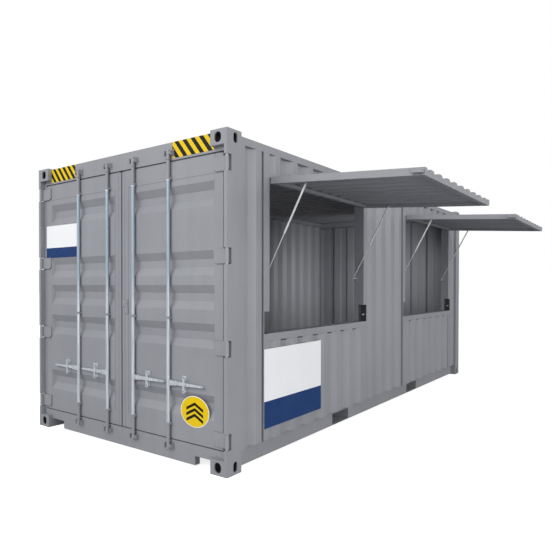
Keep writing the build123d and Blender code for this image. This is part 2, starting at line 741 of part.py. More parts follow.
def strut_studs(start):
    """A headed stud for each strut, on the inner face of the side bar beside it."""
    y, z = strut_head()
    made = []
    for plane, side in strut_places(start):
        near = plane - side * (EYE_WIDTH / 2 + EAR_GAP)
        far = plane + side * (EYE_WIDTH / 2 + EAR_GAP)
        bar_face = plane - side * (STRUT_INSET - RUN_GAP - HATCH_BAR)
        stud = rod((bar_face, y, z), (near, y, z), STUD_SHOULDER_RADIUS)
        stud += rod((bar_face, y, z), (far + side * STUD_HEAD, y, z), STRUT_PIN_RADIUS)
        made.append(stud + rod((far, y, z), (far + side * STUD_HEAD, y, z), STUD_HEAD_RADIUS))
    return made


def hatch_latches(start):
    """A latch on the outer face of each side bar, near the hatch's free edge."""
    low = hatch_box()[0] + LATCH_RISE
    made = []
    for edge, side in ((from_door(start), -1), (from_door(start + OPENING_WIDTH), 1)):
        bar_face = edge - side * RUN_GAP
        made.append(block(bar_face, edge + side * LATCH_REACH, from_serving(LATCH_DEPTH),
                          from_serving(LATCH_DEPTH + LATCH_THICKNESS), low, low + LATCH_LENGTH))
    return made


def hatch_frame(start):
    """Side bars, top and bottom bars, end strips behind the ribs, hinges, studs and latches."""
    x0 = from_door(start + RUN_GAP)
    x1 = from_door(start + OPENING_WIDTH - RUN_GAP)
    low, high = hatch_box()
    back = from_serving(HATCH_THICKNESS)
    under_sheet = SERVING_SIDE + HATCH_WAVE_HEIGHT + SHEET
    wall = TUBE_WALL
    bar = HATCH_BAR
    frame = block(x0, x1, under_sheet, back, low, high)
    frame -= block(x0 + bar, x1 - bar, under_sheet - OVERCUT, back + OVERCUT, low + bar, high - bar)
    for x in (x0, x1 - bar):
        frame += block(x, x + bar, SERVING_SIDE, under_sheet, low, high)
        frame -= block(x + wall, x + bar - wall, SERVING_SIDE + wall, back - wall, low + wall, high - wall)
    line = hatch_wave(start)
    comb = line + [(line[-1][0], under_sheet), (line[0][0], under_sheet)]
    frame += prism_z(comb, low, low + FASCIA)
    frame += prism_z(comb, high - FASCIA, high)
    return frame + hatch_barrels(start) + strut_studs(start) + hatch_latches(start)


# Gas struts
def strut_ends(start):
    """For each strut of an open hatch, its upper pivot, its foot and the way between them."""
    y, z = hinge_line()
    head_y, head_z = strut_head()
    lean = math.radians(-HATCH_RAISED)
    rise = head_z - z
    depth = head_y - y
    top_y = y + depth * math.cos(lean) - rise * math.sin(lean)
    top_z = z + depth * math.sin(lean) + rise * math.cos(lean)
    ends = []
    for plane, _ in strut_places(start):
        head = Vector(plane, top_y, top_z)
        foot = Vector(plane, from_serving(STRUT_FOOT_DEPTH), OPENING_TOP - STRUT_FOOT_DROP)
        ends.append((head, foot, (foot - head).normalized()))
    return ends


def strut_eye(centre, bore):
    """A flat eye round a pivot, with its bore."""
    x, y, z = centre
    half = EYE_WIDTH / 2
    eye = rod((x - half, y, z), (x + half, y, z), EYE_RADIUS)
    return eye, rod((x - EYE_WIDTH, y, z), (x + EYE_WIDTH, y, z), bore)


def cylinders(start):
    """The thick upper halves of a hatch's two struts, bored for their rods."""
    made = []
    for head, foot, along in strut_ends(start):
        eye, pin_hole = strut_eye(head, STRUT_PIN_RADIUS + PIN_PLAY)
        shoulder = head + along * CYLINDER_START
        mouth = head + along * CYLINDER_LENGTH
        body = eye + rod(head, shoulder, NECK_RADIUS) + rod(shoulder, mouth, CYLINDER_RADIUS)
        bore = rod(shoulder + along * CYLINDER_WALL, mouth + along, CYLINDER_RADIUS - CYLINDER_WALL)
        gland = rod(mouth - along * CYLINDER_RADIUS, mouth, CYLINDER_RADIUS)
        gland -= rod(mouth - along * (CYLINDER_RADIUS + OVERCUT), mouth + along, ROD_RADIUS + PIN_PLAY)
        made.append(body - pin_hole - bore + gland)
    return made


def rods(start):
    """The thin lower halves of a hatch's two struts, their eyes beside the feet."""
    made = []
    for head, foot, along in strut_ends(start):
        eye, pin_hole = strut_eye(foot, STRUT_PIN_RADIUS)
        inner = head + along * (CYLINDER_LENGTH - ROD_INSERT)
        outer = foot - along * CYLINDER_START
        made.append(eye + rod(inner, outer, ROD_RADIUS) + rod(outer, foot, NECK_RADIUS) - pin_hole)
    return made


# Cargo doors: drawn on the serving side, mirrored for the other leaf
def door_frame():
    """Two stiles, a deep top member and a bottom member round the pressed panel."""
    front = from_door(DOOR_RECESS)
    back = front + DOOR_THICKNESS
    outer = from_serving(DOOR_EDGE)
    inner = -DOOR_GAP
    wall = TUBE_WALL
    frame = block(front, back, outer, inner, DOOR_BOTTOM, DOOR_TOP)
    window = (outer + DOOR_STILE, inner - DOOR_CENTRE_STILE, DOOR_BOTTOM + DOOR_BOTTOM_MEMBER,
              DOOR_TOP - DOOR_TOP_MEMBER)
    inside = block(front + wall, back - wall, outer + wall, inner - wall, DOOR_BOTTOM + wall, DOOR_TOP - wall)
    inside -= block(front, back, window[0] - wall, window[1] + wall, window[2] - wall, window[3] + wall)
    return frame - block(front - OVERCUT, back + OVERCUT, *window) - inside


def swage(centre, inner_y, grow):
    """A pocket with sloping sides, larger by grow on every face."""
    front = from_door(DOOR_RECESS) - (0 if grow else OVERCUT)
    depth = from_door(DOOR_RECESS) + SWAGE_DEPTH + grow
    slope_z = SWAGE_FLANK / SWAGE_DEPTH
    slope_y = SWAGE_END_RUN / SWAGE_DEPTH
    reach = depth - front
    over = (from_door(DOOR_RECESS) - front)
    half_z = SWAGE_HEIGHT / 2 + grow + over * slope_z
    y0 = -SWAGE_OUTER - grow - over * slope_y
    y1 = -inner_y + grow + over * slope_y
    upright = [
        (front, centre - half_z),
        (front, centre + half_z),
        (depth, centre + half_z - reach * slope_z),
        (depth, centre - half_z + reach * slope_z),
    ]
    level = [(front, y0), (front, y1), (depth, y1 - reach * slope_y), (depth, y0 + reach * slope_y)]
    return prism_y(upright, y0, y1) & prism_z(level, centre - half_z, centre + half_z)


def door_panel(inner_y):
    """The pressed sheet of a leaf, with its five sunk swages."""
    front = from_door(DOOR_RECESS)
    y0 = from_serving(DOOR_EDGE) + DOOR_STILE
    y1 = -DOOR_GAP - DOOR_CENTRE_STILE
    panel = block(front, front + SHEET, y0, y1, DOOR_BOTTOM + DOOR_BOTTOM_MEMBER, DOOR_TOP - DOOR_TOP_MEMBER)
    for centre in SWAGE_CENTRES:
        panel += swage(centre, inner_y, SHEET)
    for centre in SWAGE_CENTRES:
        panel -= swage(centre, inner_y, 0)
    return panel


def door_gasket():
    """The seal along the hinge edge, top and bottom of a leaf."""
    front = from_door(DOOR_RECESS + GASKET_FRONT)
    back = front + GASKET_DEPTH
    outer = from_serving(DOOR_EDGE)
    inner = -DOOR_GAP
    strip = block(front, back, outer - GASKET, inner, DOOR_BOTTOM - GASKET, DOOR_TOP + GASKET)
    return strip - block(front - OVERCUT, back + OVERCUT, outer, inner + OVERCUT, DOOR_BOTTOM, DOOR_TOP)


def hinge_blades():
    """Four blades with their barrels, on the face of a leaf, their lower tips cut off."""
    x = from_door(HINGE_AXIS)
    y = from_serving(HINGE_AXIS)
    tip = from_serving(BLADE_REACH)
    cut = BLADE_CHAMFER
    front = from_door(DOOR_RECESS - BLADE_THICKNESS)
    back = from_door(DOOR_RECESS)
    made = []
    for height in HINGE_HEIGHTS:
        low = height - BLADE_HEIGHT / 2
        high = height + BLADE_HEIGHT / 2
        blade = prism_x([(y, low), (tip - cut, low), (tip, low + cut), (tip, high), (y, high)], front, back)
        blade += block(x, front, y, y + BARREL_RADIUS, low, high)
        blade += rod((x, y, low), (x, y, high), BARREL_RADIUS)
        made.append(blade - rod((x, y, low - OVERCUT), (x, y, high + OVERCUT), PIN_RADIUS + PIN_PLAY))
    return made


def lock_fittings():
    """The guides of a leaf's two bars and the plates that catch their handles."""
    face = from_door(DOOR_RECESS)
    axis_x = from_door(BAR_AXIS)
    front = axis_x - BAR_RADIUS - GUIDE_STRAP
    made = []
    for offset in BAR_OFFSETS:
        for height in GUIDE_HEIGHTS:
            low = height - GUIDE_HEIGHT / 2
            high = height + GUIDE_HEIGHT / 2
            guide = block(axis_x, face, -offset - GUIDE_HALF_WIDTH, -offset + GUIDE_HALF_WIDTH, low, high)
            guide += rod((axis_x, -offset, low), (axis_x, -offset, high), axis_x - front)
            made.append(guide - rod((axis_x, -offset, low - OVERCUT), (axis_x, -offset, high + OVERCUT),
                                    BAR_RADIUS + PIN_PLAY))
        y = -offset - CATCH_OFFSET
        plane = Plane(origin=(face - CATCH_PLATE / 2, y, HANDLE_Z), x_dir=(0, 1, 0), z_dir=(-1, 0, 0))
        catch = oval(CATCH_WIDTH, CATCH_HEIGHT, CATCH_PLATE / 2, plane)
        for side in (-1, 1):
            lug_z = HANDLE_Z + side * (HANDLE_ROOT_HEIGHT / 2 + RUN_GAP + CATCH_LUG_RADIUS)
            catch += rod((face - CATCH_PLATE, y, lug_z), (axis_x - HANDLE_THICKNESS / 2, y, lug_z),
                         CATCH_LUG_RADIUS)
        made.append(catch)
    return made


def lock_bar(offset):
    """A lock bar with a cam at each end and its handle, lying shut."""
    x = from_door(BAR_AXIS)
    y = -offset
    bar = rod((x, y, BAR_BOTTOM), (x, y, BAR_TOP), BAR_RADIUS)
    for height in CAM_CENTRES:
        bar += block(x - CAM_THICKNESS / 2, x + CAM_THICKNESS / 2, y - CAM_ARM, y,
                     height - CAM_HEIGHT / 2, height + CAM_HEIGHT / 2)
    for height in COLLAR_CENTRES:
        bar += rod((x, y, height - COLLAR_HEIGHT / 2), (x, y, height + COLLAR_HEIGHT / 2), COLLAR_RADIUS)
    half = HANDLE_THICKNESS / 2
    hub = block(x - BAR_RADIUS, x + BAR_RADIUS, y - HUB_REACH, y, HANDLE_Z - HUB_HEIGHT / 2,
                HANDLE_Z + HUB_HEIGHT / 2)
    lever = prism_x(
        [
            (y - HUB_REACH, HANDLE_Z - HANDLE_ROOT_HEIGHT / 2),
            (y - HUB_REACH, HANDLE_Z + HANDLE_ROOT_HEIGHT / 2),
            (y - HANDLE_REACH, HANDLE_Z + HANDLE_TIP_HEIGHT / 2),
            (y - HANDLE_REACH, HANDLE_Z - HANDLE_TIP_HEIGHT / 2),
        ],
        x - half, x + half)
    return bar + hub + lever


def keepers():
    """Pairs of cheeks on the header and the sill, one pair for each end of a bar."""
    face = from_door(DOOR_RECESS)
    front = from_door(KEEPER_FRONT)
    made = []
    for offset in BAR_OFFSETS:
        for height in CAM_CENTRES:
            for side in (-1, 1):
                inner = -offset + side * KEEPER_GAP
                outer = inner + side * KEEPER_CHEEK
                made.append(block(front, face, inner, outer, height - KEEPER_HEIGHT / 2,
                                  height + KEEPER_HEIGHT / 2))
    return made


os.makedirs("parts", exist_ok=True)

save("bottom_corner_castings", *four_corners(casting(False)))
save("top_corner_castings", *four_corners(casting(True)))
rail = bottom_rail()
save("bottom_side_rails", rail, to_plain_side(rail))
save("fork_pockets", *[pocket_sleeve(side * POCKET_SPACING / 2) for side in (-1, 1)])
save("floor_cross_members", *cross_members())
save("floor_board", floor_board())

post = door_post()
save("door_corner_posts", post, to_plain_side(post))
pins = hinge_pins()
save("door_hinge_pins", *pins, *[to_plain_side(pin) for pin in pins])
save("door_sill", door_sill())
save("door_header", door_header())
cheeks = keepers()
save("cam_keepers", *cheeks, *[to_plain_side(cheek) for cheek in cheeks])

end_post = blind_post()
save("blind_end_posts", end_post, to_plain_side(end_post))
save("blind_end_sill", blind_sill())
save("blind_end_header", blind_header())
save("blind_end_wall", blind_wall())

tube = top_rail()
save("top_side_rails", tube, to_plain_side(tube))
save("roof_panel", roof_panel())

wall_end = LENGTH - CASTING_L
save("plain_side_wall", to_plain_side(wall_sheet(DOOR_POST_LENGTH, wall_end, RAIL_TOP, TOP_RAIL_BOTTOM)))
starts = (OPENING_1_START, OPENING_2_START)
edges = [(start - JAMB_WIDTH, start + OPENING_WIDTH + JAMB_WIDTH) for start in starts]
bounds = [DOOR_POST_LENGTH] + [x for pair in edges for x in pair] + [wall_end]
piers = zip(bounds[0::2], bounds[1::2])
save("serving_wall_piers", *[wall_sheet(x0, x1, RAIL_TOP, TOP_RAIL_BOTTOM) for x0, x1 in piers])
apron_top = OPENING_BOTTOM - FRAME_SILL
head_bottom = OPENING_TOP + FRAME_HEAD
spans = [(start, start + OPENING_WIDTH) for start in starts]
save("serving_wall_aprons", *[wall_sheet(x0, x1, RAIL_TOP, apron_top) for x0, x1 in spans])
save("serving_wall_heads", *[wall_sheet(x0, x1, head_bottom, TOP_RAIL_BOTTOM) for x0, x1 in spans])

for number, start in enumerate(starts, 1):
    save(f"opening_{number}_frame", opening_frame(start))
    save(f"hatch_{number}_frame", raise_hatch(hatch_frame(start)))
    save(f"hatch_{number}_sheet", raise_hatch(hatch_sheet(start)))
    save(f"hatch_{number}_strut_cylinders", *cylinders(start))
    save(f"hatch_{number}_strut_rods", *rods(start))

for side, place, inner_y in (
    ("right", lambda shape: shape, SWAGE_INNER_RIGHT),
    ("left", to_plain_side, SWAGE_INNER_LEFT),
):
    save(f"{side}_door_frame", place(door_frame()))
    save(f"{side}_door_panel", place(door_panel(inner_y)))
    save(f"{side}_door_gasket", place(door_gasket()))
    save(f"{side}_door_hinge_blades", *[place(blade) for blade in hinge_blades()])
    save(f"{side}_door_lock_fittings", *[place(fitting) for fitting in lock_fittings()])

outer_bar, inner_bar = [lock_bar(offset) for offset in BAR_OFFSETS]
save("lock_bar_1", to_plain_side(outer_bar))
save("lock_bar_2", to_plain_side(inner_bar))
save("lock_bar_3", inner_bar)
save("lock_bar_4", outer_bar)
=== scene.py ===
import json
import math

import bmesh
import bpy
from mathutils import Matrix, Vector


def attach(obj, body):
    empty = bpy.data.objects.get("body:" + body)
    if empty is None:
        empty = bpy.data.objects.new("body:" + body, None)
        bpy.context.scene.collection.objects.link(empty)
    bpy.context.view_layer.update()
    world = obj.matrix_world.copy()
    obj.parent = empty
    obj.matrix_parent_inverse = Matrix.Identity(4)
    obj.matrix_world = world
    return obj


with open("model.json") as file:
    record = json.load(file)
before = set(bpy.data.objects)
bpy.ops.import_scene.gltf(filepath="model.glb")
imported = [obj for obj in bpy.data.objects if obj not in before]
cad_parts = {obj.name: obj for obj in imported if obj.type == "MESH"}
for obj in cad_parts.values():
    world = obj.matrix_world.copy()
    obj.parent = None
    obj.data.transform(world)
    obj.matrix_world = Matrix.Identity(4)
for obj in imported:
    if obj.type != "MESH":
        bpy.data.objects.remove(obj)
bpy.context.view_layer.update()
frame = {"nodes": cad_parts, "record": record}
nodes = frame["nodes"]

MM = 0.001

# Where the photograph was taken from, and its lens, in a 552 pixel square
CAMERA_PLACE = Vector((-6.128, -3.660, 1.433))
CAMERA_YAW = 38.72
CAMERA_PITCH = -0.57
FOCAL_PIXELS = 536.42
IMAGE_PIXELS = 552.0
OPTICAL_CENTRE = (222.41, 289.81)
SENSOR = 36.0

# Colours, as sRGB
GREY = "#8E9096"
GREY_CHALKY = "#94969B"
GREY_SCUFFED = "#85878D"
# The next colour is painted shade, for crevices and where plates meet
GREY_CREVICE_SHADE = "#3E4045"
WHITE = "#F1F3F5"
NAVY = "#14386E"
YELLOW = "#E9C60A"
BLACK = "#0C0D0F"
ZINC = "#D9DEE3"
ZINC_DULL = "#AEB6BE"
ZINC_BLUE = "#9DB0BE"
CYLINDER_GREY = "#E4E6E8"
CYLINDER_DULL = "#C9CCD0"
CHROME = "#ECEDEF"
CHROME_DULL = "#CBCED2"
RUBBER = "#35363A"
RUBBER_BLOOM = "#3C3E43"
SEAM_DARK = "#4A4C51"
SEAM_LIGHT = "#5A5C61"
PLY_LIGHT = "#7C6450"
PLY_DARK = "#574537"
# The next colour is painted shade, for the castings' hollows
CASTING_HOLLOW_SHADE = "#17181A"
LIP_GREY = "#6E7075"
LIP_PALE = "#787A80"

# Sizes that the CAD part has too, in metres from its origin
DOOR_END = -3.029
DOOR_FACE = -2.984
SERVING_FACE = -1.219
BAR_X = DOOR_END + 0.022
BAR_OFFSETS = (0.594, 0.172)
BAR_RADIUS = 0.015
GUIDE_LOW = 0.304
GUIDE_HIGH = 2.293
HANDLE_Z = 0.640
CATCH_OFFSET = 0.175
HANDLE_REACH = 0.367
OPENING_STARTS = (0.561, 3.650)
OPENING_WIDTH = 1.829
FLOOR_TOP = 0.168
DOOR_LOW = 0.180
DOOR_HIGH = 2.423
CATCH_HEIGHTS = (0.55, 0.73)
BLUE_ZINC_HEIGHTS = (1.15, 1.55)
PAINT_EDGE = 0.5 * MM
HALF_LENGTH = 3.029
HALF_WIDTH = 1.219
HALF_HEIGHT = 1.2955
CASTING_SIZE = (0.178, 0.162, 0.118)
CASTING_WALL = 0.010

# Studio lights: name, place, target, size in metres and power in watts
STUDIO_LAMPS = (
    ("side_light", (-1.2, -14.0, 2.6), (-0.2, 0.0, 1.2), 8.0, 800),
    ("door_light", (-11.5, 0.6, 7.0), (-3.0, 0.0, 1.2), 8.0, 670),
    ("low_light", (-8.2, -6.4, 0.3), (0.0, -1.7, 2.2), 2.0, 135),
)
ROOM_LIGHT = 0.61
WIDE = 180
INSIDE_LAMP_Y = -0.60
INSIDE_LAMP_Z = 1.9
INSIDE_LAMP_SIZE = 0.6
INSIDE_TARGET_Z = 0.8
INSIDE_SPREAD = 130
INSIDE_POWER = (7.0, 8.0)
INSIDE_AIM = (0.3, 2.0)
FLOOR_SIZE = 80
FLOOR_GLOW = 0.8
FLOOR_DROP = 0.001
FLOOR_SEEN = "#F0F0F0"
FLOOR_UNSEEN = "#A9A9AB"
PURE_WHITE = "#FFFFFF"


# Small helpers
def linear(code):
    """An sRGB hex code as linear red, green, blue and alpha."""
    values = [int(code[i:i + 2], 16) / 255 for i in (1, 3, 5)]
    return [v / 12.92 if v <= 0.04045 else ((v + 0.055) / 1.055) ** 2.4 for v in values] + [1.0]


def add(material, kind, values=None, links=None):
    """Adds one node to a material or a world, with its settings and with what its sockets read."""
    node = material.node_tree.nodes.new("ShaderNode" + kind)
    for name, value in (values or {}).items():
        if isinstance(name, int) or name in node.inputs:
            node.inputs[name].default_value = value
        else:
            setattr(node, name, value)
    for name, source in (links or {}).items():
        material.node_tree.links.new(source, node.inputs[name])
    return node


def new_material(name):
    """An empty node material."""
    material = bpy.data.materials.new(name)
    material.use_nodes = True
    material.node_tree.nodes.clear()
    return material


def show(material, shader):
    """Makes a shader the material's surface."""
    add(material, "OutputMaterial", links={"Surface": shader})
    return material


def object_place(material, stretch=(1, 1, 1)):
    """The object's own coordinates, in metres, stretched."""
    coordinates = add(material, "TexCoord")
    return add(material, "Mapping", {"Scale": stretch}, {"Vector": coordinates.outputs["Object"]}).outputs[0]


def clouds(material, size_mm, detail=3.0, stretch=(1, 1, 1)):
    """Soft noise whose patches are about size_mm across."""
    place = object_place(material, stretch)
    noise = add(material, "TexNoise", {"Scale": 1000 / size_mm, "Detail": detail}, {"Vector": place})
    return noise.outputs["Fac"]


def spread(material, value, low, high, to_low=0.0, to_high=1.0):
    """Stretches a value's range low to high over to_low to to_high."""
    settings = {"From Min": low, "From Max": high, "To Min": to_low, "To Max": to_high}
    return add(material, "MapRange", settings, {"Value": value}).outputs["Result"]


def mix_colours(material, share, first, second):
    """Two colours or colour outputs, mixed by share."""
    values, links = {"data_type": "RGBA"}, {"Factor": share}
    for socket, colour in ((6, first), (7, second)):
        if isinstance(colour, str):
            values[socket] = linear(colour)
        else:
            links[socket] = colour
    return add(material, "Mix", values, links).outputs[2]


def object_height(material):
    """The object's own height, in metres."""
    return add(material, "SeparateXYZ", links={"Vector": object_place(material)}).outputs["Z"]


def height_mask(material, low, high):
    """1 where the object's own height lies between low and high, else 0."""
    height = object_height(material)
    above = spread(material, height, low, low + PAINT_EDGE)
    below = spread(material, height, high - PAINT_EDGE, high, 1.0, 0.0)
    return add(material, "Math", {"operation": "MULTIPLY"}, {0: above, 1: below}).outputs[0]


# Finishes
def enamel_shader(material):
    """Sprayed alkyd enamel on steel: satin, faintly uneven, with painted shade darkening it in crevices and
    where plates meet.
    """
    patches = spread(material, clouds(material, 700, 4.0), 0.35, 0.65)
    runs = spread(material, clouds(material, 110, 4.0, (1.0, 1.0, 0.08)), 0.45, 0.8, 0.0, 0.35)
    colour = mix_colours(material, patches, GREY, GREY_CHALKY)
    colour = mix_colours(material, runs, colour, GREY_SCUFFED)
    # Painted shade: the enamel turns dark grey where ambient occlusion finds crevices and plates that meet
    crevice = add(material, "AmbientOcclusion", {"samples": 6, "Distance": 18 * MM})
    crevice_shade = spread(material, crevice.outputs["AO"], 0.15, 0.7, 0.6, 0.0)
    colour = mix_colours(material, crevice_shade, colour, GREY_CREVICE_SHADE)
    # Orange peel is about 2 mm across on real paint, drawn at 8 mm so that it shows
    peel = clouds(material, 8, 2.0)
    rounded = add(material, "Bevel", {"samples": 4, "Radius": 3 * MM})
    bump = add(material, "Bump", {"Strength": 0.1, "Distance": 0.5 * MM},
               {"Height": peel, "Normal": rounded.outputs[0]})
    shine = spread(material, patches, 0.0, 1.0, 0.42, 0.56)
    shader = add(material, "BsdfPrincipled", {"IOR": 1.5},
                 {"Base Color": colour, "Roughness": shine, "Normal": bump.outputs[0]})
    return shader.outputs[0]


def metal_shader(material, colour, dull, roughness, metallic=0.85):
    """Plated steel: a metal with fine draw marks along its length."""
    marks = spread(material, clouds(material, 16, 4.0, (1.0, 1.0, 0.05)), 0.4, 0.7)
    shade = mix_colours(material, marks, colour, dull)
    shine = spread(material, marks, 0.0, 1.0, roughness - 0.06, roughness + 0.1)
    bump = add(material, "Bump", {"Strength": 0.06, "Distance": 0.3 * MM}, {"Height": marks})
    shader = add(material, "BsdfPrincipled", {"Metallic": metallic},
                 {"Base Color": shade, "Roughness": shine, "Normal": bump.outputs[0]})
    return shader.outputs[0]


def satin_enamel():
    """The body's paint."""
    material = new_material("satin_enamel")
    return show(material, enamel_shader(material))


def bright_metal(name, *look):
    """A plated metal all over."""
    material = new_material(name)
    return show(material, metal_shader(material, *look))


def part_painted_zinc(name, low, high):
    """Zinc plating between two heights, turning bluer and darker between 1.15 and 1.55 m up, and the body's
    enamel beyond them.
    """
    material = new_material(name)
    mask = height_mask(material, low, high)
    # Bluer, darker zinc higher up, by height alone
    upper_share = spread(material, object_height(material), *BLUE_ZINC_HEIGHTS)
    plating = mix_colours(material, upper_share, ZINC, ZINC_BLUE)
    enamel = enamel_shader(material)
    zinc = metal_shader(material, plating, ZINC_DULL, 0.38, 0.35)
    mix = add(material, "MixShader", links={"Fac": mask, 1: enamel, 2: zinc})
    return show(material, mix.outputs[0])


def cast_steel():
    """The corner castings: the body's enamel outside, and painted shade, near-black, in their hollows."""
    material = new_material("enamelled_cast_steel")
    middle = add(material, "VectorMath", {"operation": "SUBTRACT", 1: (0.0, 0.0, HALF_HEIGHT)},
                 {0: object_place(material)})
    reach = add(material, "VectorMath", {"operation": "ABSOLUTE"}, {0: middle.outputs[0]})
    parts = add(material, "SeparateXYZ", links={"Vector": reach.outputs[0]})
    shares = []
    for axis, half, size in zip("XYZ", (HALF_LENGTH, HALF_WIDTH, HALF_HEIGHT), CASTING_SIZE):
        near, far = half - size + CASTING_WALL, half - CASTING_WALL
        shares.append(spread(material, parts.outputs[axis], near, near + MM, 0.0, 1.0))
        shares.append(spread(material, parts.outputs[axis], far - MM, far, 1.0, 0.0))
    inside = shares[0]
    for share in shares[1:]:
        inside = add(material, "Math", {"operation": "MULTIPLY"}, {0: inside, 1: share}).outputs[0]
    # Painted shade: near-black more than a wall's thickness inside the casting's outer faces
    dark = add(material, "BsdfPrincipled", {"Base Color": linear(CASTING_HOLLOW_SHADE), "Roughness": 0.8})
    mix = add(material, "MixShader", links={"Fac": inside, 1: enamel_shader(material), 2: dark.outputs[0]})
    return show(material, mix.outputs[0])


def seal_rubber():
    """Extruded EPDM: black and matt, with a little bloom."""
    material = new_material("epdm_rubber")
    bloom = spread(material, clouds(material, 60, 4.0), 0.45, 0.7, 0.0, 0.5)
    colour = mix_colours(material, bloom, RUBBER, RUBBER_BLOOM)
    shader = add(material, "BsdfPrincipled", {"Roughness": 0.75, "IOR": 1.52}, {"Base Color": colour})
    return show(material, shader.outputs[0])


def vinyl_film(name, colour, roughness=0.34):
    """Cut vinyl film: one even colour, smooth, with slight ripples."""
    material = new_material(name)
    ripples = clouds(material, 120, 2.0)
    bump = add(material, "Bump", {"Strength": 0.05, "Distance": 1.0 * MM}, {"Height": ripples})
    faded = spread(material, clouds(material, 300, 3.0), 0.4, 0.7, 0.0, 0.03)
    shade = mix_colours(material, faded, colour, GREY_CHALKY)
    gloss = {"Roughness": roughness, "IOR": 1.46, "Specular IOR Level": 0.25}
    shader = add(material, "BsdfPrincipled", gloss,
                 {"Base Color": shade, "Normal": bump.outputs[0]})
    return show(material, shader.outputs[0])


def sealed_plywood():
    """Sealed hardwood plywood: long grain along the cabin, darker where feet have worn it."""
    material = new_material("sealed_plywood")
    grain = spread(material, clouds(material, 9, 6.0, (0.04, 1.0, 1.0)), 0.35, 0.65)
    worn = spread(material, clouds(material, 500, 3.0), 0.4, 0.6, 0.0, 0.4)
    colour = mix_colours(material, grain, PLY_LIGHT, PLY_DARK)
    colour = mix_colours(material, worn, colour, PLY_DARK)
    bump = add(material, "Bump", {"Strength": 0.2, "Distance": 0.5 * MM}, {"Height": grain})
    shader = add(material, "BsdfPrincipled", {"Roughness": 0.55, "IOR": 1.5},
                 {"Base Color": colour, "Normal": bump.outputs[0]})
    return show(material, shader.outputs[0])


def dull_paint(name, dark, light):
    """Matt grey that is darker in patches some 40 mm across."""
    material = new_material(name)
    patchy = spread(material, clouds(material, 40, 3.0), 0.35, 0.7)
    colour = mix_colours(material, patchy, dark, light)
    shader = add(material, "BsdfPrincipled", {"Roughness": 0.8}, {"Base Color": colour})
    return show(material, shader.outputs[0])


body_enamel = satin_enamel()
cast_enamel = cast_steel()
zinc_plate = bright_metal("zinc_plated_steel", ZINC, ZINC_DULL, 0.42, 0.5)
bar_finish = part_painted_zinc("zinc_tube_painted_ends", GUIDE_LOW, GUIDE_HIGH)
fitting_finish = part_painted_zinc("enamel_zinc_catches", *CATCH_HEIGHTS)
strut_paint = bright_metal("strut_cylinder_enamel", CYLINDER_GREY, CYLINDER_DULL, 0.36, 0.0)
rod_chrome = bright_metal("hard_chrome", CHROME, CHROME_DULL, 0.3, 0.45)
rubber = seal_rubber()
plywood = sealed_plywood()
# Dark grey for joint lines, and for painted shade under the sills and round the lap plate
seam_dirt_and_shade = dull_paint("seam_dirt_and_shade", SEAM_DARK, SEAM_LIGHT)
lip_rubber = dull_paint("grey_seal_lip", LIP_GREY, LIP_PALE)
white_film = vinyl_film("white_vinyl", WHITE)
navy_film = vinyl_film("navy_vinyl", NAVY)
yellow_film = vinyl_film("yellow_vinyl", YELLOW)
black_film = vinyl_film("black_vinyl", BLACK, 0.42)

SLOT_FINISHES = {
    "floor_plywood": plywood,
    "zinc_steel": zinc_plate,
    "seal_rubber": rubber,
    "strut_grey": strut_paint,
    "rod_chrome": rod_chrome,
}
NODE_FINISHES = {
    "top_corner_castings": cast_enamel,
    "bottom_corner_castings": cast_enamel,
    "left_door_lock_fittings": fitting_finish,
    "right_door_lock_fittings": fitting_finish,
    **{f"lock_bar_{number}": bar_finish for number in (1, 2, 3, 4)},
}
for row in frame["record"]["subparts"]:
    node = nodes[row["node"]]
    material = NODE_FINISHES.get(row["node"], SLOT_FINISHES.get(row["material_slot"], body_enamel))
    node.data.materials.clear()
    node.data.materials.append(material)


# Meshes
def finish_piece(name, mesh, body, materials, smooth=False):
    """Turns a bmesh into a piece that rides on a body."""
    bmesh.ops.remove_doubles(mesh, verts=mesh.verts, dist=1e-6)
    bmesh.ops.recalc_face_normals(mesh, faces=mesh.faces)
    data = bpy.data.meshes.new(name)
    mesh.to_mesh(data)
    mesh.free()
    for face in data.polygons:
        face.use_smooth = smooth
    piece = bpy.data.objects.new(name, data)
    bpy.context.scene.collection.objects.link(piece)
    for each in materials if isinstance(materials, list) else [materials]:
        data.materials.append(each)
    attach(piece, body)
    return piece


def paint_faces(made, material):
    """Gives the faces of what an operator made a material number."""
    for face in {face for vertex in made["verts"] for face in vertex.link_faces}:
        face.material_index = material


def add_block(mesh, low, high, bevel=0.0, material=0):
    """Adds a box between two corners, with its edges rounded."""
    low, high = Vector(low), Vector(high)
    place = Matrix.Translation((low + high) / 2) @ Matrix.Diagonal((*(high - low), 1))
    made = bmesh.ops.create_cube(mesh, size=1.0, matrix=place)
    paint_faces(made, material)
    if bevel:
        edges = {edge for vertex in made["verts"] for edge in vertex.link_edges}
        bmesh.ops.bevel(mesh, geom=list(edges), offset=bevel, segments=2, profile=0.5,
                        affect="EDGES", material=-1)


def add_disc(mesh, centre, normal, radius, depth, sides=24, top=1.0, material=0):
    """Adds a round plug that stands on a surface; top is its far end's share of the radius."""
    turn = Vector((0, 0, 1)).rotation_difference(Vector(normal)).to_matrix().to_4x4()
    place = Matrix.Translation(Vector(centre) + Vector(normal) * depth / 2) @ turn
    made = bmesh.ops.create_cone(mesh, cap_ends=True, segments=sides, radius1=radius,
                                 radius2=radius * top, depth=depth, matrix=place)
    paint_faces(made, material)


